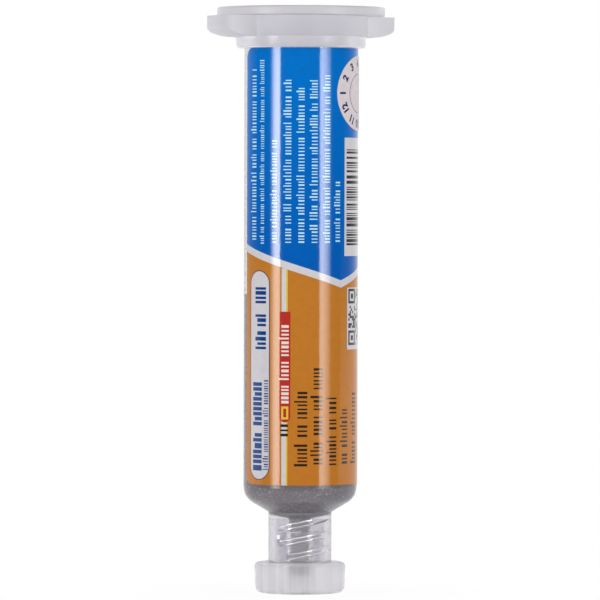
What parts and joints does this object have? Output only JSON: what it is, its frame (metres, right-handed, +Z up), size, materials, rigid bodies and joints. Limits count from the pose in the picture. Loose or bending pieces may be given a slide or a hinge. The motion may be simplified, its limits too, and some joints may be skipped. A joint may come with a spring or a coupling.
{
  "type": "solder paste syringe",
  "caption": "Filled dispensing syringe of solder paste: clear barrel with a winged flange, round lid, inner piston, Luer lock hub and screw-on tip cap.",
  "frame": {"origin": "centre of the tip cap's foot, on the surface that the syringe stands on", "axes": "+Z up along the syringe's axis, from the tip cap to the end cap; -Y is the side with the front of the label; +X is to the right when that side is looked at"},
  "size_m": [0.0308, 0.0276, 0.0959],
  "materials": {
    "clear_plastic": "natural polypropylene, clear and glossy on the tube and hazy in the thick flange",
    "frosted_plastic": "natural polyethylene, milky, with a satin skin",
    "piston_plastic": "white polyethylene, satin",
    "paste": "grey paste of fine metal grains in flux, satin",
    "label_film": "printed film under clear varnish, blue above and ochre below",
    "sticker_paper": "pale printed paper"
  },
  "bodies": {
    "barrel": {"barrel": "clear_plastic", "solder_paste": "paste", "label": "label_film", "date_sticker": "sticker_paper"},
    "end_cap": {"end_cap": "frosted_plastic"},
    "piston": {"piston": "piston_plastic"},
    "tip_cap": {"tip_cap": "frosted_plastic"}
  },
  "joints": [
    {"name": "end_cap_pull", "type": "slide", "parent": "barrel", "child": "end_cap", "axis": [0, 0, 1], "range_m": [0, 0.03]},
    {"name": "piston_push", "type": "slide", "parent": "barrel", "child": "piston", "axis": [0, 0, -1], "range_m": [0, 0.032], "deforming": ["solder_paste"]},
    {"name": "tip_cap_pull", "type": "slide", "parent": "barrel", "child": "tip_cap", "axis": [0, 0, -1], "range_m": [0, 0.02]}
  ]
}
